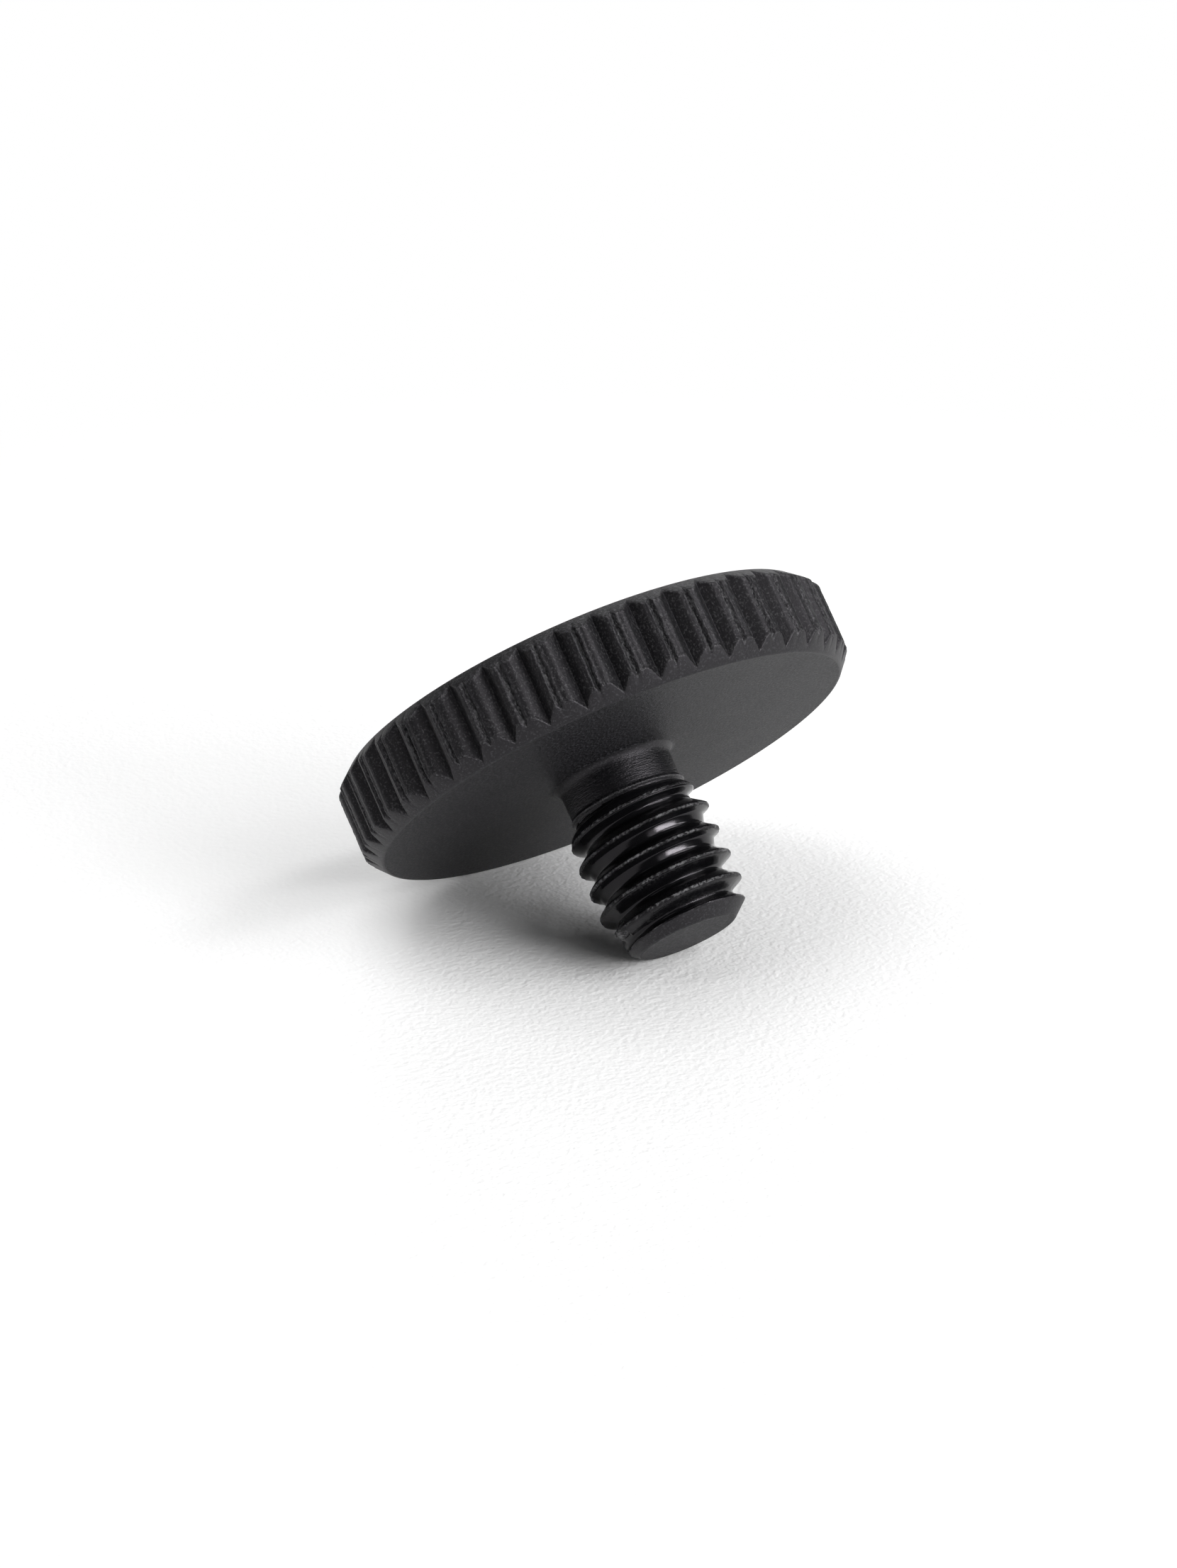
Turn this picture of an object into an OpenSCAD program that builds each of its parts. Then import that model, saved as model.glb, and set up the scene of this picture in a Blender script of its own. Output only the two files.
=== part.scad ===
// Thumb screw: a thin disc head with a straight-knurled rim, a plain neck and a
// metric right-hand thread with a chamfered tip, all turned from one bar.
// Millimetres. The screw lies as it comes to rest on a table: the edge of the head's seat and
// the last thread crest touch the ground plane z = 0, and the tip points down and to -Y.
// The origin is the centre of the bounding box's bottom.

/* [Head] */
// Diameter of the head over the knurl
head_d = 14; // [10:0.5:30]
// Thickness of the head
head_t = 2.5; // [1.6:0.1:6]
// Width of the outer face's chamfer, across the radius
face_chamfer_w = 0.45; // [0.2:0.05:1]
// Height of the outer face's chamfer, along the axis
face_chamfer_h = 0.4; // [0.2:0.05:0.8]
// Width of the thread side's chamfer, across the radius
seat_chamfer_w = 0.38; // [0.2:0.02:1]
// Height of the thread side's chamfer, along the axis
seat_chamfer_h = 0.45; // [0.2:0.05:0.8]

/* [Knurl] */
// Distance between two grooves round the rim, before it is rounded to a whole number of grooves
knurl_pitch = 1.07; // [0.95:0.01:2]
// Depth of a groove below the crests
knurl_depth = 0.3; // [0.15:0.01:0.36]
// Angle between the two flanks of a groove, in degrees
knurl_angle = 90; // [60:1:100]
// Width of a groove's mouth at the crests
knurl_mouth_w = 0.75; // [0.6:0.01:0.8]
// Height of the eased shoulder between a flank and a crest
knurl_shoulder_h = 0.05; // [0.02:0.01:0.1]
// Turn of the knurl round the axis, in degrees, from a groove at the lowest point of the rim
knurl_turn = 1.6; // [0:0.1:8]
// Width of the seam that rolling leaves along the middle of each crest
seam_w = 0.13; // [0.05:0.01:0.2]
// Depth of that seam
seam_depth = 0.11; // [0.03:0.01:0.2]

/* [Neck] */
// Diameter of the plain neck under the head
neck_d = 3.12; // [3.08:0.02:3.8]
// Length of the neck, from the head to the start of the thread
neck_l = 1.1; // [0.5:0.05:2]
// Radius of the fillet between the neck and the head
neck_fillet_r = 0.28; // [0.1:0.02:0.45]

/* [Thread] */
// Outer diameter of the thread, as made
thread_d = 3.9; // [3.6:0.05:6]
// Distance from one crest to the next
thread_pitch = 0.7; // [0.5:0.05:1]
// Length of the shank, from the head to the tip
shank_l = 5; // [4:0.5:8]
// Length beside the neck over which the crests grow to their full height
runout_l = 1; // [0.4:0.1:2]
// Diameter of the flat end of the tip
tip_d = 2.74; // [1.5:0.02:2.9]
// Length of the chamfer at the tip
tip_chamfer_l = 0.5; // [0.2:0.05:1]

/* [Hidden] */
$fn = 96;

// Thread form: 60 degree flanks, flat crests an eighth of the pitch wide, rounded roots
thread_h = 17 / 24 * sqrt(3) / 2 * thread_pitch;
crest_half = thread_pitch / 16;
root_round_r = thread_pitch / (4 * sqrt(3));
root_half = thread_pitch / 2 - crest_half - (thread_h - root_round_r / 2) * tan(30);
thread_steps = 40;

head_r = head_d / 2;
neck_r = neck_d / 2;
crest_r = thread_d / 2;
root_r = crest_r - thread_h;
tip_r = tip_d / 2;
chamfer_z = shank_l - tip_chamfer_l;

// Knurl: the crests' corners lie on the rim, so a groove's mouth is a chord of it
knurl_n = round(PI * head_d / knurl_pitch);
mouth_r = sqrt(head_r * head_r - knurl_mouth_w * knurl_mouth_w / 4);
groove_z = head_t + 2 * knurl_depth;

// Corners of the side view as [radius, height]
head_corners = [
    [head_r - face_chamfer_w, -head_t], [head_r, face_chamfer_h - head_t],
    [head_r, -seat_chamfer_h], [head_r - seat_chamfer_w, 0]
];
shank_corners = [[crest_r, chamfer_z], [tip_r, shank_l]];

// Rest: the ground touches one corner of the head and one of the shank, and no corner is below it.
// lean is the angle between the ground and the screw's axis, and lift the height of the seat's middle.
lean = min([for (s = shank_corners) max([for (h = head_corners) atan2(h[0] - s[0], s[1] - h[1])])]);
lift = max([for (c = concat(head_corners, shank_corners)) c[0] * cos(lean) + c[1] * sin(lean)]);

// Middle of the bounding box along Y
back_y = max([for (c = head_corners) c[0] * sin(lean) - c[1] * cos(lean)]);
front_y = min([for (c = concat(head_corners, shank_corners)) -c[0] * sin(lean) - c[1] * cos(lean)]);

// The head's outline: a disc with a chamfer on each side, its thread side at height 0
module head_blank() {
    rotate_extrude()
        polygon([
            [0, -head_t],
            [head_r - face_chamfer_w, -head_t],
            [head_r, face_chamfer_h - head_t],
            [head_r, -seat_chamfer_h],
            [head_r - seat_chamfer_w, 0],
            [0, 0]
        ]);
}

// One V groove of the knurl, with its mouth eased outwards, at the rim on +X
module knurl_groove() {
    flank_half = (knurl_depth - knurl_shoulder_h) * tan(knurl_angle / 2);
    translate([0, 0, -head_t - knurl_depth])
        linear_extrude(groove_z)
            polygon([
                [head_r - knurl_depth, 0],
                [head_r - knurl_shoulder_h, flank_half],
                [mouth_r, knurl_mouth_w / 2],
                [head_r + knurl_depth, knurl_mouth_w / 2],
                [head_r + knurl_depth, -knurl_mouth_w / 2],
                [mouth_r, -knurl_mouth_w / 2],
                [head_r - knurl_shoulder_h, -flank_half]
            ]);
}

// The seam along the middle of one crest, at the rim on +X
module crest_seam() {
    translate([0, 0, -head_t - knurl_depth])
        linear_extrude(groove_z)
            polygon([
                [head_r - seam_depth, 0],
                [head_r, seam_w / 2],
                [head_r + seam_depth, seam_w / 2],
                [head_r + seam_depth, -seam_w / 2],
                [head_r, -seam_w / 2]
            ]);
}

// Disc head. One groove's middle is near -Y, over the place where the head rests on the ground.
module head() {
    difference() {
        head_blank();
        for (i = [0:knurl_n - 1])
            rotate([0, 0, knurl_turn - 90 + i * 360 / knurl_n]) {
                knurl_groove();
                rotate([0, 0, 180 / knurl_n]) crest_seam();
            }
    }
}

// Plain neck and the fillet that joins it to the head
module neck() {
    cylinder(h = neck_l, r = neck_r);
    rotate_extrude()
        translate([neck_r, 0])
            difference() {
                translate([-neck_fillet_r, 0]) square([2 * neck_fillet_r, neck_fillet_r]);
                translate([neck_fillet_r, neck_fillet_r]) circle(r = neck_fillet_r);
            }
}

// Radius of the thread's surface at a distance from the middle of a crest, along the axis
function ridge_r(d) =
    d <= crest_half ? crest_r
    : d <= thread_pitch / 2 - root_half ? crest_r - (d - crest_half) / tan(30)
    : root_r + root_round_r - sqrt(max(0, pow(root_round_r, 2) - pow(thread_pitch / 2 - d, 2)));

// Largest radius at a height: the run-out by the neck and the chamfer at the tip
function limit_r(z) = min(
    root_r + thread_h * (z - neck_l) / runout_l,
    crest_r,
    tip_r + (crest_r - tip_r) * (shank_l - z) / tip_chamfer_l
);

// Height of a crest's middle at an angle. One passes the low side, -Y, where the tip chamfer starts.
function crest_z(angle) = chamfer_z + thread_pitch * (angle + 90) / 360;

function thread_r(angle, z) =
    let (turns = (z - crest_z(angle)) / thread_pitch, d = abs(turns - round(turns)) * thread_pitch)
    min(ridge_r(d), limit_r(z));

// Heights of one pitch's rows, from one crest to the next
crest_rows = [-crest_half, crest_half];
flank_rows = [for (s = [1, 2]) crest_half + s * (thread_pitch / 2 - root_half - crest_half) / 3];
root_rows = [thread_pitch / 2 - root_half, thread_pitch / 2, thread_pitch / 2 + root_half];
rows = concat(crest_rows, flank_rows, root_rows, [for (s = [1, 0]) thread_pitch - flank_rows[s]]);

// Threaded length. Its rows of points follow the helix; at each end they stop at a flat.
module thread() {
    row_n = len(rows);
    low_crest = crest_z(0) - thread_pitch * ceil((crest_z(0) - neck_l) / thread_pitch + 1.5);
    turn_n = ceil((shank_l - low_crest) / thread_pitch) + 1;
    line_n = row_n * turn_n;
    function at(i, n) =
        let (
            angle = i * 360 / thread_steps,
            height = low_crest + rows[n % row_n] + thread_pitch * (floor(n / row_n) + i / thread_steps),
            z = min(shank_l, max(neck_l, height)),
            r = thread_r(angle, z)
        )
        [r * cos(angle), r * sin(angle), z];
    // After one turn the helix has climbed one pitch, so the last strip joins the first, row_n lines up
    function point(i, n) = i < thread_steps ? i * line_n + n : min(n + row_n, line_n - 1);
    points = [for (i = [0:thread_steps - 1]) for (n = [0:line_n - 1]) at(i, n)];
    strips = [for (i = [0:thread_steps - 1]) for (n = [0:line_n - 2])
        each [
            [point(i, n), point(i, n + 1), point(i + 1, n + 1)],
            [point(i, n), point(i + 1, n + 1), point(i + 1, n)]
        ]];
    neck_end = [for (i = [0:thread_steps - 1]) point(i, 0)];
    tip_end = [for (i = [thread_steps - 1:-1:0]) point(i, line_n - 1)];
    polyhedron(points, concat(strips, [neck_end, tip_end]));
}

// The whole screw on its own axis: thread side of the head at height 0, tip upwards
module upright_screw() {
    head();
    neck();
    thread();
}

module thumb_screw() {
    color([0.11, 0.11, 0.12])
        translate([0, -(back_y + front_y) / 2, lift])
            rotate([90 + lean, 0, 0])
                upright_screw();
}

thumb_screw();
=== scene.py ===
import math

import bpy
import numpy as np
from mathutils import Euler, Matrix, Vector, noise


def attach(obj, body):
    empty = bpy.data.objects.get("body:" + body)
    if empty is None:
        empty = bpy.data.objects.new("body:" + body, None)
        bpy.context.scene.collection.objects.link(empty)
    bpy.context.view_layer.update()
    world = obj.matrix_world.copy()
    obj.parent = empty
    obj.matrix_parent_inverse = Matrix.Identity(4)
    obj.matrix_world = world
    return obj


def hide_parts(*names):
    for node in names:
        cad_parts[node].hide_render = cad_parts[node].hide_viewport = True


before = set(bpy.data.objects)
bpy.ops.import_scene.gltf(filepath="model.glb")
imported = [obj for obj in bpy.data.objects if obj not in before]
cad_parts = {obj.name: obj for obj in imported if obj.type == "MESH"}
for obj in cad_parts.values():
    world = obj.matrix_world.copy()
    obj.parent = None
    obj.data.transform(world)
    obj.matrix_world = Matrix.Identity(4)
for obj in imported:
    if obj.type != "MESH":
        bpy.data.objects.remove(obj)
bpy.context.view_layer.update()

# A black anodised thumb screw, turned in one piece, lying on a pale bench top.
# Lengths are in millimetres up to the point where a mesh is made. The screw is built on its
# own axis, with the thread side of its head at height 0 and its tip upwards, and is then laid
# down on the edge of its head and the end of its thread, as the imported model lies.

MM = 0.001

# Head: a disc with a straight-knurled rim and a chamfer on each side
HEAD_R = 7.0
HEAD_T = 2.5
FACE_CHAMFER_W = 0.45
FACE_CHAMFER_H = 0.4
SEAT_CHAMFER_W = 0.38
SEAT_CHAMFER_H = 0.45
TURNED_EDGE = 0.05       # how far from a turned edge its rounding starts
KNURL_EDGE = 0.03        # the same where the knurl meets a chamfer
TOOTH_COUNT = 41
TOOTH_PITCH = 2 * math.pi * HEAD_R / TOOTH_COUNT
KNURL_TURN = math.radians(1.6)
GROOVE_DEPTH = 0.3
SHOULDER_DEPTH = 0.05    # depth at which the straight flanks of a groove end
MOUTH_HALF = 0.395       # half the width of a groove's mouth
SHOULDER_POWER = 1.7     # how quickly a shoulder flattens towards the mouth's edge
CREST_MIDDLE = 0.03      # the crests lean this far to one side of a tooth
CREST_SINK = 0.016       # how far below the full radius a crest lies beside its lips
LIP_RISE = 0.014         # how far a lip stands above that
LIP_HALF = 0.05
LIP_FROM_SEAM = 0.035    # from a seam's edge to the middle of its lip
SEAM_WANDER = 0.025      # how far a seam strays along its tooth
FRAY = 0.009             # depth of the lumps on a crest
EDGE_TORN_AND_GLINT = 0.75         # how torn the metal is, at least, where the knurl meets a chamfer; the lighter colour this gives the edge is partly a burr and partly a painted highlight

# Shank: fillet, plain neck, thread and chamfered tip
NECK_R = 1.56
FILLET_R = 0.28
FOOT_R = NECK_R + FILLET_R           # where the fillet meets the seat
COLLAR_Z = 1.0           # the small ring raised at the end of the neck
COLLAR_HALF = 0.08
COLLAR_HEIGHT = 0.065
MARK_DEPTH = 0.003       # of the turning marks on the neck
THREAD_START = 1.12
CREST_R = 1.95
THREAD_PITCH = 0.7
FLOOR_R = 1.55           # floor of the thread groove
NEAR_SLOPE = 2.2         # of the flank that faces the tip
FAR_SLOPE = 1.35         # of the flank that faces the head
CREST_HALF = 0.035       # half the width of the flat along a crest
RUNOUT_R = 1.6           # the crests beside the neck are cut off at this radius, then at more:
RUNOUT_STEP = 0.06       # first as much more as the height, then this much
RUNOUT_SLOPE = 0.45      # and this share of the height
CREST_ROUND = 0.02       # how wide the rounding between a crest and its flanks is
ROOT_ROUND = 0.03        # and between the flanks and the root
WORN_RISE = 0.085        # how far a worn root lies above the groove's floor
WORN_SLOPE = 0.34        # of a worn root on its near side
WORN_END = 0.37          # distance from the crest's middle where that slope ends
LOWER_CREST = 0.035      # how much wider each half of the lower crests is
LOWER_SLOPE = 0.3        # how much gentler their near flank is
LOWER_FROM, LOWER_TO = 3.0, 3.4      # heights between which the lower crests set in
LAST_FROM, LAST_TO = 3.75, 3.9       # and the last ones
WORN_FROM, WORN_TO = 1.65, 1.9       # and the worn roots
SHANK_L = 5.0
TIP_CHAMFER_L = 0.5
TIP_R = 1.37             # of the tip's flat end
TIP_EDGE = 0.008         # height of the rounding at the tip's flat end
CHAMFER_Z = SHANK_L - TIP_CHAMFER_L
THREAD_END = SHANK_L - 0.03          # the thread's last line, on the tip's chamfer
BREAK_DEPTH = 0.32       # how much of the last crest is broken off, beside the tip's chamfer
CHIP_DEPTH = 0.09        # of the few larger chips
GRAIN_DEPTH = 0.018      # of the small ones

# The way it lies: the edge of the seat and the last thread crest touch the bench
SEAT_EDGE_R = HEAD_R - SEAT_CHAMFER_W
LEAN = math.atan2(SEAT_EDGE_R - CREST_R, CHAMFER_Z)
LIFT = SEAT_EDGE_R * math.cos(LEAN)

# Mesh steps
TOOTH_STEPS = 36         # columns of points across one tooth
SHANK_COLUMNS = 4 * TOOTH_COUNT
WALL_ROWS = 30           # rows of points along the knurl
FLAT_R = 6.0             # the knurl's columns run this far in over the outer face
SEAT_R = 2.3             # and this far in over the seat
FACE_RING_R = 5.6        # radius of the coarse ring on the outer face
SEAT_RING_R = FOOT_R + 0.2           # and of the one on the seat
FILLET_RING_R = FOOT_R + 0.06        # radius of a finer ring just outside the fillet
NECK_RINGS = 28


def smooth_step(low, high, x):
    """0 below low and 1 above high, with a smooth rise between."""
    t = np.clip((x - low) / (high - low), 0, 1)
    return t * t * (3 - 2 * t)


def hump(x, middle, half):
    """1 at the middle, falling smoothly to 0 half a width away."""
    return 1 - smooth_step(0, half, np.abs(x - middle))


def lumps(radius, angle, height, size, seed):
    """Smooth noise from -1 to 1 over a round surface, in lumps of about size millimetres."""
    radius, angle, height = np.broadcast_arrays(radius, angle, height)
    places = np.stack([radius * np.cos(angle), radius * np.sin(angle), height], -1) / size
    places = places.reshape(-1, 3) + np.array([7.31, 3.17, 5.93]) * seed
    return np.array([noise.noise(Vector(p)) for p in places]).reshape(angle.shape)


# ---------------------------------------------------------------- head

def tooth_columns():
    """Places across one tooth, from one groove to the next, closer together on the crest."""
    half = TOOTH_PITCH / 2
    flank = [0.0, 0.015, 0.045, 0.09, 0.14, 0.19, 0.23, 0.26, 0.29]
    crest_start = 0.32
    crest_steps = TOOTH_STEPS - 2 * len(flank) + 1
    crest = np.linspace(crest_start - half, half - crest_start, crest_steps)
    return np.concatenate([np.array(flank) - half, crest, half - np.array(flank[:0:-1])])


def tooth_habits():
    """What sets one tooth apart from the next: the seam on its crest and the groove before it."""
    rng = np.random.default_rng(4)
    return {
        "seam_at": rng.normal(0.06, 0.015, TOOTH_COUNT),
        "seam_half": rng.uniform(0.06, 0.095, TOOTH_COUNT),
        "seam_depth": rng.uniform(0.08, 0.15, TOOTH_COUNT),
        "groove": GROOVE_DEPTH * rng.uniform(0.95, 1.0, TOOTH_COUNT),
    }


def groove_form(across, depth):
    """Depth of a groove at a distance from its middle: a V whose shoulders are eased."""
    flank_half = depth - SHOULDER_DEPTH
    shoulder = 1 - np.clip((across - flank_half) / (MOUTH_HALF - flank_half), 0, 1)
    shoulder = SHOULDER_DEPTH * shoulder ** SHOULDER_POWER
    return np.where(across < flank_half, depth - across, shoulder)


class Knurl:
    """The knurled rim: its columns of points and how deep the surface lies at each height."""

    def __init__(self):
        columns = tooth_columns()
        self.tooth = np.repeat(np.arange(TOOTH_COUNT), len(columns))
        self.across = np.tile(columns, TOOTH_COUNT)
        middle = (self.tooth + 0.5) * 2 * math.pi / TOOTH_COUNT
        self.angle = middle + self.across / HEAD_R - math.pi / 2 + KNURL_TURN
        self.habits = tooth_habits()

    def crest(self):
        """1 on the crests, falling to 0 down the shoulders of the grooves."""
        return 1 - smooth_step(0.13, 0.25, np.abs(self.across - CREST_MIDDLE))

    def torn(self):
        """How torn the metal is, most where a crest's two halves meet. The knurl's finish paints these places
        lighter, partly for torn metal and partly as painted highlights.
        """
        from_seam = self.across - self.habits["seam_at"][self.tooth]
        return self.crest() * (0.3 + 0.7 * hump(from_seam, 0.0, 0.15))

    def groove(self):
        """Depth of the two grooves beside each tooth."""
        depths = self.habits["groove"]
        nearer = np.where(self.across < 0, depths[self.tooth], depths[(self.tooth + 1) % TOOTH_COUNT])
        return groove_form(TOOTH_PITCH / 2 - np.abs(self.across), nearer)

    def land(self, height, from_seam, half, fray):
        """Depth of a crest beside its seam, least on the lips that the seam pushed up."""
        lip = hump(np.abs(from_seam), half + LIP_FROM_SEAM, LIP_HALF)
        coarse = lumps(HEAD_R, self.angle, height, 0.14, 3)
        return np.clip(CREST_SINK - LIP_RISE * lip + FRAY * fray + FRAY * coarse, 0, None)

    def depth(self, height):
        """Depth below the head's full radius, for heights given as rows by columns."""
        habits, tooth = self.habits, self.tooth
        wander = SEAM_WANDER * lumps(HEAD_R, tooth * 2.0, height, 0.45, 1)
        fray = lumps(HEAD_R, self.angle, height, 0.07, 2)
        from_seam = self.across - habits["seam_at"][tooth] - wander
        half = habits["seam_half"][tooth] * (1 + 0.25 * fray)
        seam = habits["seam_depth"][tooth] * np.clip(1 - np.abs(from_seam) / half, 0, 1) ** 0.8
        return self.groove() + self.crest() * (self.land(height, from_seam, half, fray) + seam)


def corner(before, at, after, reach, steps):
    """Points round an eased corner, reach away from it on each side. Each is [radius, height]."""
    def toward(other):
        away = other - at
        return at + away * (reach / np.linalg.norm(away, axis=-1, keepdims=True))
    a, b = toward(before), toward(after)
    return [(1 - t) ** 2 * a + 2 * t * (1 - t) * at + t * t * b for t in np.linspace(0, 1, steps)]


def head_rows(knurl):
    """Rows of [radius, height] points, from the outer face over the rim to the seat, and which
    of them are on the rim, with the edges where it meets the chamfers."""
    count = len(knurl.angle)

    def ring(radius, height):
        return np.stack([np.broadcast_to(radius, count), np.broadcast_to(height, count)], -1)

    def chamfer_end(face_z, inward, wide, high):
        """Where the knurl breaks out of a chamfer, column by column."""
        height = np.full(count, face_z)
        for _ in range(3):
            cut = knurl.depth(height)
            height = face_z + inward * high * (1 - cut / wide)
        return ring(HEAD_R - cut, height)

    low = chamfer_end(-HEAD_T, 1, FACE_CHAMFER_W, FACE_CHAMFER_H)
    top = chamfer_end(0.0, -1, SEAT_CHAMFER_W, SEAT_CHAMFER_H)
    face, seat = ring(FLAT_R, -HEAD_T), ring(FLAT_R, 0.0)
    face_edge, seat_edge = ring(HEAD_R - FACE_CHAMFER_W, -HEAD_T), ring(SEAT_EDGE_R, 0.0)
    share = np.linspace(0.02, 0.98, WALL_ROWS)[:, None]
    height = low[:, 1] + (top[:, 1] - low[:, 1]) * share
    wall = np.stack([HEAD_R - knurl.depth(height), height], -1)
    rows = [face]
    rows += corner(face, face_edge, low, TURNED_EDGE, 4)
    rows += corner(face_edge, low, wall[0], KNURL_EDGE, 3)
    rim = range(len(rows) - 2, len(rows) + WALL_ROWS)
    rows += list(wall[1:-1])
    rows += corner(wall[-1], top, seat_edge, KNURL_EDGE, 3)
    rows += corner(top, seat_edge, seat, TURNED_EDGE, 4)
    rows += [ring(SEAT_R, 0.0)]
    return rows, rim


# ---------------------------------------------------------------- shank

def neck_rings(angle):
    """The rings of the fillet and the neck: radius, height, how torn the metal is, and the
    finish of the strip that ends there. The small collar is as rough as the knurl, and like its
    crests painted lighter, partly for torn metal and partly as a painted highlight."""
    rings = [(FILLET_RING_R, 0.0, 0.0, "blasted")]
    finishes = ["blasted"] * 3 + ["chamfer"] * 3 + ["neck"] * 2
    for t, finish in zip(np.linspace(0, math.pi / 2, len(finishes)), finishes):
        radius = NECK_R + FILLET_R * (1 - math.sin(t))
        rings.append((radius, FILLET_R * (1 - math.cos(t)), 0.0, finish))
    for z in np.linspace(FILLET_R + 0.03, THREAD_START, NECK_RINGS):
        on_collar = hump(z, COLLAR_Z, COLLAR_HALF)
        marks = MARK_DEPTH * lumps(0.2, angle, z, 0.035, 5)
        radius = NECK_R + COLLAR_HEIGHT * on_collar + marks
        rings.append((radius, z, on_collar, "knurl" if on_collar > 0 else "neck"))
    return rings


def soft_max(a, b, ease):
    """The larger of two, with the corner between them eased."""
    return (a + b + np.sqrt((a - b) ** 2 + ease ** 2)) / 2


def thread_form(past_crest, worn, lower):
    """Radius of the thread at a distance past the middle of a crest, towards the tip.
    Where worn is 1 the tool has left the near side of the groove shallow and sloping.
    Where lower is 1 the crest is broader."""
    d = np.mod(past_crest, THREAD_PITCH)
    near_slope = NEAR_SLOPE - LOWER_SLOPE * lower
    near_flank = CREST_R - near_slope * (d - CREST_HALF - LOWER_CREST * lower)
    far_flank = CREST_R - FAR_SLOPE * (THREAD_PITCH - CREST_HALF - d)
    root = FLOOR_R + worn * (WORN_RISE + WORN_SLOPE * np.clip(WORN_END - d, 0, None))
    groove = soft_max(np.maximum(near_flank, far_flank), root, ROOT_ROUND)
    return -soft_max(-groove, -CREST_R, CREST_ROUND)


def turns_round(angle):
    """Turns round the screw from its low side."""
    return (angle + math.pi / 2) / (2 * math.pi)


def crest_height(angle):
    """Height of one crest's middle at an angle. It passes the low side where the tip chamfer starts."""
    return CHAMFER_Z + THREAD_PITCH * turns_round(angle)


def limit_radius(height):
    """Largest radius at a height: the run-out by the neck and the chamfer at the tip."""
    past_start = height - THREAD_START
    runout = RUNOUT_R + np.minimum(past_start, RUNOUT_STEP + RUNOUT_SLOPE * past_start)
    chamfer = TIP_R + (CREST_R - TIP_R) * (SHANK_L - height) / TIP_CHAMFER_L
    return np.minimum(np.minimum(runout, CREST_R), chamfer)


def broken_off(angle, height):
    """1 over the stretch of the last crest that is broken off beside the tip's chamfer."""
    turns = turns_round(angle)
    stretch = smooth_step(0.765, 0.785, turns) * (1 - smooth_step(0.94, 0.985, turns))
    return stretch * smooth_step(4.0, 4.1, height) * (height < CHAMFER_Z + 0.2)


def torn_thread(angle, height, past_crest, crest_z, past_limit):
    """How torn the thread's metal is: on its crests, beside the lower and the last ones, where
    the broken stretch starts and along the edge of the tip's chamfer. The thread's finish paints
    these places lighter, partly for torn metal and partly as painted highlights."""
    from_crest = past_crest - np.round(past_crest / THREAD_PITCH) * THREAD_PITCH
    on_crest = 1 - smooth_step(0.025, 0.07, np.abs(from_crest - 0.01))
    beside = 0.3 * smooth_step(LOWER_FROM, LOWER_TO, crest_z) * hump(from_crest, 0.1, 0.1)
    by_last = 0.25 * smooth_step(LAST_FROM, LAST_TO, crest_z) * hump(from_crest, 0.25, 0.2)
    flake = hump(turns_round(angle), 0.75, 0.05) * smooth_step(4.05, 4.15, height)
    torn = np.max([on_crest, beside, by_last, flake], axis=0) * (height < CHAMFER_Z + 0.02)
    return np.maximum(torn, hump(past_limit, 0, 0.06) * (height > CHAMFER_Z))


def thread_line(angle, climb):
    """The line that runs climb above the crest of crest_height: radius, height, how torn it is,
    and whether it lies on the tip's chamfer."""
    height = np.clip(crest_height(angle) + climb, THREAD_START, THREAD_END)
    past_crest = height - crest_height(angle)
    crest_z = height - np.mod(past_crest, THREAD_PITCH)
    lower = smooth_step(LOWER_FROM, LOWER_TO, crest_z)
    worn = smooth_step(WORN_FROM, WORN_TO, crest_z) * (1 - 0.85 * lower)
    form = thread_form(past_crest, worn, lower)
    form = np.minimum(form, CREST_R - BREAK_DEPTH * broken_off(angle, height))
    limit = limit_radius(height)
    torn = torn_thread(angle, height, past_crest, crest_z, form - limit)
    grain = lumps(CREST_R, angle, height, 0.05, 7) + lumps(CREST_R, angle, height, 0.15, 8)
    chips = np.clip(lumps(CREST_R, angle, height, 0.3, 9) - 0.25, 0, None)
    cut = torn * (GRAIN_DEPTH * np.clip(grain + 0.6, 0, None) + CHIP_DEPTH * chips)
    return np.minimum(form, limit) - cut, height, torn, (form > limit) & (height > CHAMFER_Z)


def pitch_steps():
    """Distances along one pitch, from a crest's middle to the next, closer at the crest and root."""
    near = [0, 0.015, 0.03, 0.05, 0.075, 0.1, 0.125, 0.145, 0.17, 0.205, 0.245, 0.285, 0.325, 0.36]
    return near + [0.395, 0.43, 0.465, 0.505, 0.55, 0.59, 0.63, 0.66, 0.682]


# ---------------------------------------------------------------- mesh

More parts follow.
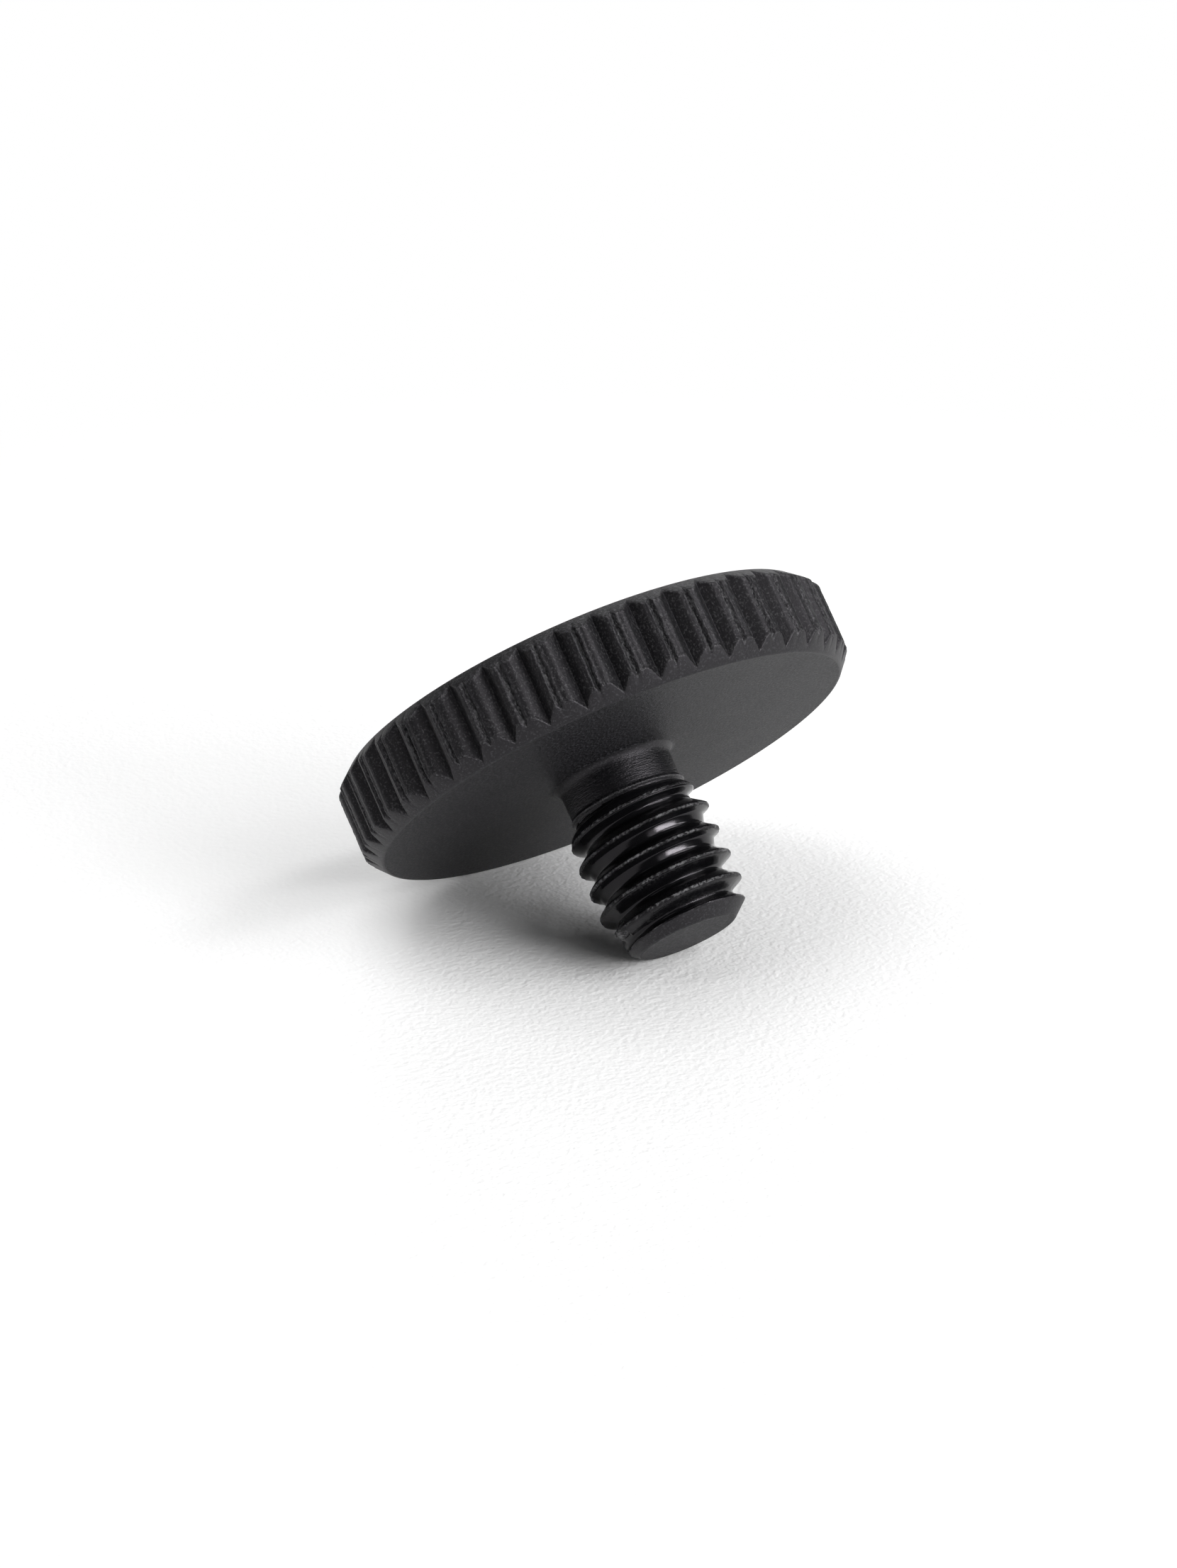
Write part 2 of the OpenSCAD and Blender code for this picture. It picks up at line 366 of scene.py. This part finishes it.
class Skin:
    """Points and faces gathered ring by ring. Each point says how torn the metal is there."""

    def __init__(self):
        self.points = []
        self.torn = []
        self.faces = []
        self.finishes = []

    def ring(self, radius, height, angle, torn=0.0):
        """Adds a ring of points and returns their numbers."""
        first = len(self.points)
        radius, height, torn, _ = np.broadcast_arrays(radius, height, torn, angle)
        self.points += list(zip(radius * np.cos(angle), radius * np.sin(angle), height))
        self.torn += list(torn)
        return list(range(first, first + len(angle)))

    def face(self, points, finish):
        """Adds a face, without corners that fall together."""
        kept = [p for i, p in enumerate(points) if p != points[i - 1]]
        if len(kept) > 2:
            self.faces.append(kept)
            self.finishes.append(finish)

    def strip(self, low, high, finish):
        """Faces between two rings of equal count."""
        for i in range(len(low)):
            self.face([low[i - 1], low[i], high[i], high[i - 1]], finish)

    def gather(self, many, few, finish, outward):
        """Faces between a ring of many points and one of few."""
        ratio = len(many) // len(few)
        for i in range(len(few)):
            here, there = few[i - 1], few[i]
            arc = [many[(i - 1) * ratio + k] if k < ratio or i else many[0] for k in range(ratio + 1)]
            fan = [[arc[k], arc[k + 1], here if k < ratio // 2 else there] for k in range(ratio)]
            fan.append([arc[ratio // 2], there, here])
            for points in fan:
                self.face(points if outward else points[::-1], finish)

    def cap(self, ring, height, finish, outward):
        """Closes a ring with faces to a point on the axis."""
        self.points.append((0.0, 0.0, height))
        self.torn.append(0.0)
        middle = len(self.points) - 1
        for i in range(len(ring)):
            points = [ring[i - 1], ring[i], middle]
            self.face(points if outward else points[::-1], finish)


def add_head(skin, plain_angle):
    """The head, from the middle of its outer face to the neck. Returns the last ring of its seat."""
    knurl = Knurl()
    rows, rim = head_rows(knurl)
    rings = []
    for n, row in enumerate(rows):
        torn = knurl.torn() if n in rim else 0.0
        # The knurl's edges by the chamfers count as torn, which paints them lighter: partly a burr, partly a
        # painted highlight along the edge.
        if n in (rim[0], rim[1], rim[-2], rim[-1]):
            torn = np.maximum(torn, EDGE_TORN_AND_GLINT)
        rings.append(skin.ring(row[:, 0], row[:, 1], knurl.angle, torn))
    face_ring = skin.ring(FACE_RING_R, -HEAD_T, plain_angle + KNURL_TURN)
    skin.cap(face_ring, -HEAD_T, "flat", False)
    skin.gather(rings[0], face_ring, "flat", False)
    for n in range(1, len(rings) - 1):
        if n < rim[1]:
            finish = "blasted"
        elif n <= rim[-1]:
            finish = "knurl"
        else:
            finish = "chamfer"
        skin.strip(rings[n - 1], rings[n], finish)
    skin.strip(rings[-2], rings[-1], "flat")
    seat_ring = skin.ring(SEAT_RING_R, 0.0, plain_angle + KNURL_TURN)
    skin.gather(rings[-1], seat_ring, "flat", True)
    return seat_ring


def add_neck(skin, seat_ring, angle):
    """The fillet and the neck. Returns the last ring."""
    last = seat_ring
    for radius, height, torn, finish in neck_rings(angle):
        ring = skin.ring(radius, height, angle, torn)
        skin.strip(last, ring, finish)
        last = ring
    return last


def thread_lines(skin, angle):
    """The thread's lines of points, from the neck to the tip, and which points are on the tip's
    chamfer. Where a line is held at the thread's start or end, it shares the last one's points."""
    # A line climbs one pitch round the screw, so the first ones start more than a pitch early
    first = math.floor((THREAD_START - CHAMFER_Z) / THREAD_PITCH) - 2
    last = math.ceil((THREAD_END - CHAMFER_Z) / THREAD_PITCH) + 1
    lines, chamfered = [], []
    for climb in [turn * THREAD_PITCH + step for turn in range(first, last) for step in pitch_steps()]:
        radius, height, torn, on_chamfer = thread_line(angle, climb)
        line = skin.ring(radius, height, angle, torn)
        if lines:
            line = [old if skin.points[old][2] == skin.points[new][2] else new
                    for old, new in zip(lines[-1], line)]
        lines.append(line)
        chamfered.append(on_chamfer)
    return lines, chamfered


def add_thread(skin, neck_ring, angle):
    """The thread and the tip. The thread's lines follow the helix, so round the screw the end of
    each meets the start of the line one turn on."""
    lines, chamfered = thread_lines(skin, angle)
    count, turn, end = len(angle), len(pitch_steps()), len(lines) - 1
    skin.strip(neck_ring, lines[0], "thread")
    for n in range(end):
        for i in range(count):
            j = (i + 1) % count
            up = 0 if i + 1 < count else turn
            low, high = min(n + up, end), min(n + 1 + up, end)
            on_chamfer = chamfered[n][i] and chamfered[low][j]
            face = [lines[n][i], lines[low][j], lines[high][j], lines[n + 1][i]]
            skin.face(face, "chamfer" if on_chamfer else "thread")
    edge = skin.ring(TIP_R, SHANK_L - TIP_EDGE, angle)
    flat = skin.ring(TIP_R - TURNED_EDGE, SHANK_L, angle)
    skin.strip(lines[-1], edge, "chamfer")
    skin.strip(edge, flat, "blasted")
    skin.cap(flat, SHANK_L, "flat", True)


def resting_place():
    """The matrix that turns the screw's axis down to the bench and centres it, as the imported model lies."""
    corners = [(HEAD_R, FACE_CHAMFER_H - HEAD_T), (HEAD_R - FACE_CHAMFER_W, -HEAD_T)]
    back = max(r * math.sin(LEAN) - z * math.cos(LEAN) for r, z in corners)
    shank = [(CREST_R, CHAMFER_Z), (TIP_R, SHANK_L)]
    front = max(r * math.sin(LEAN) + z * math.cos(LEAN) for r, z in shank + [(SEAT_EDGE_R, 0)])
    middle = Vector((0, (front - back) / 2, LIFT))
    return Matrix.Translation(middle * MM) @ Matrix.Rotation(math.pi / 2 + LEAN, 4, "X")


def skin_mesh(skin):
    """The mesh of a skin, in metres, with its finishes and how torn it is."""
    used = sorted({p for face in skin.faces for p in face})
    place = {p: i for i, p in enumerate(used)}
    mesh = bpy.data.meshes.new("thumb_screw")
    points = [Vector(skin.points[p]) * MM for p in used]
    mesh.from_pydata(points, [], [[place[p] for p in face] for face in skin.faces])
    torn = mesh.attributes.new("torn", "FLOAT", "POINT")
    torn.data.foreach_set("value", [float(skin.torn[p]) for p in used])
    blasted = blasted_finish()
    finishes = {
        "blasted": blasted, "knurl": knurl_finish(), "neck": neck_finish(),
        "thread": thread_finish(), "chamfer": chamfer_finish(), "flat": blasted,
    }
    slots = list(dict.fromkeys(finishes.values()))
    for material in slots:
        mesh.materials.append(material)
    mesh.polygons.foreach_set("material_index", [slots.index(finishes[f]) for f in skin.finishes])
    mesh.polygons.foreach_set("use_smooth", [f != "flat" for f in skin.finishes])
    return mesh


def thumb_screw():
    skin = Skin()
    angle = np.arange(SHANK_COLUMNS) * 2 * math.pi / SHANK_COLUMNS - math.pi / 2
    seat_ring = add_head(skin, angle)
    neck_ring = add_neck(skin, seat_ring, angle)
    add_thread(skin, neck_ring, angle)
    mesh = skin_mesh(skin)
    mesh.transform(resting_place())
    screw = bpy.data.objects.new("thumb_screw", mesh)
    bpy.context.scene.collection.objects.link(screw)
    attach(screw, "root")
    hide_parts("thumb_screw")


# ---------------------------------------------------------------- finishes

class Value:
    """A node's output that carries a number. Arithmetic on it adds the nodes that work it out."""

    def __init__(self, nodes, socket):
        self.nodes = nodes
        self.socket = socket

    def __add__(self, other):
        return self.nodes.maths("ADD", self, other)

    def __sub__(self, other):
        return self.nodes.maths("SUBTRACT", self, other)

    def __rsub__(self, other):
        return self.nodes.maths("SUBTRACT", other, self)

    def __mul__(self, other):
        return self.nodes.maths("MULTIPLY", self, other)

    __radd__, __rmul__ = __add__, __mul__


class Nodes:
    """Builds the nodes of one material or of the world."""

    def __init__(self, owner):
        owner.use_nodes = True
        self.owner = owner
        self.tree = owner.node_tree
        self.tree.nodes.clear()

    def node(self, kind, settings=(), **inputs):
        """A node of a kind. Settings are made first, then each input is given its value or link.
        An input is named with _ for each space, or by _ and its number."""
        node = self.tree.nodes.new("ShaderNode" + kind)
        for name, value in dict(settings).items():
            setattr(node, name, value)
        for name, value in inputs.items():
            key = int(name[1:]) if name[1:].isdigit() else name.replace("_", " ")
            value = value.socket if isinstance(value, Value) else value
            if isinstance(value, bpy.types.NodeSocket):
                self.tree.links.new(value, node.inputs[key])
            else:
                node.inputs[key].default_value = value
        return node

    def value(self, kind, output, settings=(), **inputs):
        return Value(self, self.node(kind, settings, **inputs).outputs[output])

    def maths(self, operation, a, b):
        return self.value("Math", "Value", {"operation": operation}, _0=a, _1=b)

    def between(self, x, low, high):
        """0 where x is below low and 1 where it is above high, with a smooth rise between."""
        settings = {"interpolation_type": "SMOOTHSTEP"}
        return self.value("MapRange", "Result", settings, Value=x, From_Min=low, From_Max=high)

    def place(self):
        """The point in millimetres."""
        here = self.node("TexCoord").outputs["Object"]
        return self.node("VectorMath", {"operation": "SCALE"}, _0=here, Scale=1 / MM).outputs["Vector"]

    def own_place(self):
        """The point on the screw's own axes, in millimetres."""
        turn = resting_place()
        middle = turn.to_translation() / MM
        from_middle = self.node("VectorMath", {"operation": "SUBTRACT"}, _0=self.place(), _1=middle)
        turned = self.node("VectorRotate", {"rotation_type": "X_AXIS"},
                           Vector=from_middle.outputs["Vector"], Angle=-turn.to_euler().x)
        return turned.outputs["Vector"]

    def stretched(self, point, x, y, z):
        return self.node("VectorMath", {"operation": "MULTIPLY"}, _0=point, _1=(x, y, z)).outputs["Vector"]

    def grain(self, point, size, detail=2.0):
        """Noise from 0 to 1, in grains of about size."""
        return self.value("TexNoise", "Fac", {"noise_dimensions": "3D"}, Vector=point, Scale=1 / size,
                          Detail=detail, Roughness=0.55)

    def torn(self):
        """How torn the metal is, as the mesh says."""
        return self.value("Attribute", "Fac", {"attribute_name": "torn"})

    def mix(self, factor, a, b):
        """The colour a where factor is 0 and b where it is 1."""
        return self.node("Mix", {"data_type": "RGBA"}, _0=factor, _6=(*a, 1), _7=(*b, 1)).outputs[2]

    def bump(self, height, distance):
        """The normal of a relief that is distance millimetres high where height is 1."""
        return self.node("Bump", Height=height, Strength=1.0, Distance=distance * MM).outputs["Normal"]

    def metal(self, colour, roughness, normal, gloss):
        """An anodised surface, finished off as the material."""
        shader = self.node("BsdfPrincipled", Base_Color=colour, Roughness=roughness, Normal=normal,
                           Specular_IOR_Level=gloss, Specular_Tint=SHEEN)
        self.node("OutputMaterial", Surface=shader.outputs["BSDF"])
        return self.owner


BLACK = (0.003, 0.003, 0.0035)
WORN_BLACK = (0.022, 0.022, 0.024)
SPECK_BLACK = (0.04, 0.04, 0.044)
# Light grey for torn crests, rim edges and the collar: partly bare metal, partly a painted highlight for the
# light those crests and edges catch.
BARE_AND_PAINTED_GLINT = (0.16, 0.16, 0.165)
SHEEN = (0.98, 0.93, 1.0, 1)
WHITE = (1, 1, 1, 1)


def blasted_finish():
    """Bead-blasted aluminium, anodised black: matt, with a fine even sparkle."""
    nodes = Nodes(bpy.data.materials.new("blasted_black_anodising"))
    at = nodes.own_place()
    fine = nodes.grain(at, 0.035, 3.0)
    dimple = nodes.grain(at, 0.11, 1.0)
    speck = nodes.grain(at, 0.07)
    cloud = nodes.grain(at, 1.4)
    colour = nodes.mix(nodes.between(speck, 0.45, 0.72), BLACK, SPECK_BLACK)
    roughness = 0.46 + 0.12 * fine - 0.05 * cloud
    relief = fine * 1.8 + dimple * 1.2
    return nodes.metal(colour, roughness, nodes.bump(relief, 0.006), gloss=0.18)


def chamfer_finish():
    """The turned chamfers of the head and the tip: matt like the faces, and a little brighter."""
    nodes = Nodes(bpy.data.materials.new("turned_chamfer_black_anodising"))
    at = nodes.own_place()
    fine = nodes.grain(at, 0.035, 3.0)
    speck = nodes.grain(at, 0.06)
    lines = nodes.grain(nodes.stretched(at, 0.3, 0.3, 1), 0.05)
    colour = nodes.mix(nodes.between(speck, 0.5, 0.72), BLACK, WORN_BLACK)
    roughness = 0.4 + 0.12 * fine
    relief = fine * 1.3 + lines * 0.5
    return nodes.metal(colour, roughness, nodes.bump(relief, 0.006), gloss=0.31)


def knurl_finish():
    """The knurled rim: pressed flanks with fine streaks, and torn crests painted lighter, partly for bare
    metal and partly as painted highlights.
    """
    nodes = Nodes(bpy.data.materials.new("knurled_black_anodising"))
    at = nodes.own_place()
    torn = nodes.torn()
    fine = nodes.grain(at, 0.03, 3.0)
    speck = nodes.grain(at, 0.055)
    crumb = nodes.grain(nodes.stretched(at, 1, 1, 0.5), 0.045)
    drag = nodes.grain(nodes.stretched(at, 1, 1, 0.18), 0.04)
    # Painted highlight: torn crests, rim edges and the collar are mixed towards light grey, partly for bare
    # metal and partly for the light they catch; the specks are random tone.
    worn = 0.5 * torn * torn * nodes.between(crumb, 0.4, 0.75) + 0.2 * nodes.between(speck, 0.5, 0.72)
    colour = nodes.mix(worn, BLACK, BARE_AND_PAINTED_GLINT)
    roughness = 0.42 + 0.1 * fine - torn * 0.22 * crumb
    relief = fine * 0.7 + drag * 0.8 + torn * (crumb * 2.0 + fine * 1.4)
    return nodes.metal(colour, roughness, nodes.bump(relief, 0.008), gloss=0.31)


def neck_finish():
    """The turned neck, with fine lines round it."""
    nodes = Nodes(bpy.data.materials.new("turned_black_anodising"))
    at = nodes.own_place()
    fine = nodes.grain(at, 0.04)
    lines = nodes.grain(nodes.stretched(at, 0.2, 0.2, 1), 0.03)
    colour = nodes.mix(nodes.between(fine, 0.5, 0.8), BLACK, WORN_BLACK)
    roughness = 0.27 + 0.12 * fine
    relief = lines * 1.7 + fine * 0.9
    return nodes.metal(colour, roughness, nodes.bump(relief, 0.010), gloss=0.27)


def thread_finish():
    """The cut thread: glossy flanks and roots, and rough crests painted lighter, partly for torn metal and
    partly as painted highlights.
    """
    nodes = Nodes(bpy.data.materials.new("cut_black_anodising"))
    at = nodes.own_place()
    torn = nodes.torn()
    fine = nodes.grain(at, 0.025)
    crumb = nodes.grain(at, 0.08, 4.0)
    patch = nodes.grain(at, 0.5)
    rough = torn * torn
    # Painted highlight: torn crests are mixed towards light grey in patches, partly for torn metal and partly
    # for the light the crests catch.
    worn = rough * nodes.between(crumb, 0.4, 0.65) * nodes.between(patch, 0.3, 0.6)
    colour = nodes.mix(worn, BLACK, BARE_AND_PAINTED_GLINT)
    roughness = 0.12 + torn * 0.2 + fine * 0.04
    relief = rough * (crumb * 9.0 + fine * 3.0) + fine * 0.1
    return nodes.metal(colour, roughness, nodes.bump(relief, 0.008), gloss=0.22)


# ---------------------------------------------------------------- bench top, light and camera

BENCH_HALF = 1.5         # metres
BENCH_WHITE = (0.86, 0.86, 0.86, 1)
SHADE_END = 22.0         # the bench top starts to turn pure white this far from the screw
WHITE_START = 42.0       # and is pure white from here


def bench_top():
    """A white bench top with a finely pebbled surface, pure white away from the screw."""
    ends = (-BENCH_HALF, BENCH_HALF)
    mesh = bpy.data.meshes.new("bench_top")
    mesh.from_pydata([(x, y, 0) for x in ends for y in ends], [], [(0, 2, 3, 1)])
    floor = bpy.data.objects.new("bench_top", mesh)
    bpy.context.scene.collection.objects.link(floor)
    nodes = Nodes(bpy.data.materials.new("white_bench_top"))
    at = nodes.place()
    pebble = nodes.grain(at, 0.35, 1.0) * 0.5 + nodes.grain(at, 0.16, 1.0) * 0.8
    lit = nodes.node("BsdfPrincipled", Base_Color=BENCH_WHITE, Roughness=0.55,
                     Normal=nodes.bump(pebble, 0.028))
    white = nodes.node("Emission", Color=WHITE, Strength=1.0)
    distance = nodes.value("VectorMath", "Value", {"operation": "LENGTH"}, _0=at)
    away = nodes.between(distance, SHADE_END, WHITE_START)
    seen = nodes.value("LightPath", "Is Camera Ray")
    mixed = nodes.node("MixShader", _0=away * seen, _1=lit.outputs["BSDF"], _2=white.outputs["Emission"])
    nodes.node("OutputMaterial", Surface=mixed.outputs["Shader"])
    mesh.materials.append(nodes.owner)


VIEW_AZIMUTH = -34.74    # degrees round from -Y, the side that the tip points to
VIEW_ELEVATION = 24.0
VIEW_DISTANCE = 149.06
VIEW_LEFT = 0.643        # the camera looks this far to the left of the seat's middle
VIEW_DOWN = 0.409        # and this far below it
LENS = 171.8
SENSOR = 36.0


def camera():
    """The camera looks a little to the left of the seat's middle and below it."""
    turn = Euler((math.radians(90 - VIEW_ELEVATION), 0, math.radians(VIEW_AZIMUTH)))
    data = bpy.data.cameras.new("camera")
    data.lens = LENS
    data.sensor_width = SENSOR
    data.sensor_fit = "HORIZONTAL"
    data.clip_start = 0.005
    data.clip_end = 10.0
    eye = bpy.data.objects.new("camera", data)
    eye.rotation_euler = turn
    across, up, back = turn.to_matrix().col
    seat = resting_place().to_translation() / MM
    eye.location = (seat - VIEW_LEFT * across - VIEW_DOWN * up + VIEW_DISTANCE * back) * MM
    bpy.context.scene.collection.objects.link(eye)
    bpy.context.scene.camera = eye


# Lamps: name, degrees round from the camera's right, degrees up, width and height in metres, radiance
SOFTBOXES = [
    ("low_key", 322, 21, 0.60, 0.06, 45.0),
    ("key_strip", 352, 20, 0.34, 0.03, 34.0),
    ("high_key", 332, 42, 0.44, 0.34, 7.0),
    ("front_fill", 301, 28, 0.50, 0.34, 2.8),
    ("right_fill", 0, 35, 0.30, 0.60, 2.6),
    ("overhead", 180, 75, 0.50, 0.50, 3.3),
    ("left_high", 195, 50, 0.60, 0.40, 1.4),
    ("back_left_high", 135, 50, 0.60, 0.40, 1.3),
    ("back_low", 90, 20, 0.50, 0.50, 2.1),
    ("back_high", 75, 50, 0.60, 0.40, 1.0),
]
LAMP_DISTANCE = 0.9      # metres
ROOM_FILL = 0.05


def softbox(name, azimuth, elevation, width, height, radiance):
    """A rectangular lamp aimed at the screw."""
    data = bpy.data.lights.new(name, "AREA")
    data.shape = "RECTANGLE"
    data.size = width
    data.size_y = height
    data.energy = radiance * math.pi * width * height
    lamp = bpy.data.objects.new(name, data)
    a, e = math.radians(azimuth + VIEW_AZIMUTH), math.radians(elevation)
    way = Vector((math.cos(e) * math.cos(a), math.cos(e) * math.sin(a), math.sin(e)))
    lamp.location = way * LAMP_DISTANCE
    lamp.rotation_euler = way.to_track_quat("Z", "Y").to_euler()
    bpy.context.scene.collection.objects.link(lamp)


def room():
    """White to the camera, and a soft even fill for the rest."""
    world = bpy.data.worlds.new("room")
    bpy.context.scene.world = world
    nodes = Nodes(world)
    fill = nodes.node("Background", Color=WHITE, Strength=ROOM_FILL)
    white = nodes.node("Background", Color=WHITE)
    seen = nodes.value("LightPath", "Is Camera Ray")
    mixed = nodes.node("MixShader", _0=seen, _1=fill.outputs[0], _2=white.outputs[0])
    nodes.node("OutputWorld", Surface=mixed.outputs["Shader"])


thumb_screw()
bench_top()
camera()
for lamp in SOFTBOXES:
    softbox(*lamp)
room()
bpy.context.scene.view_settings.view_transform = "Standard"
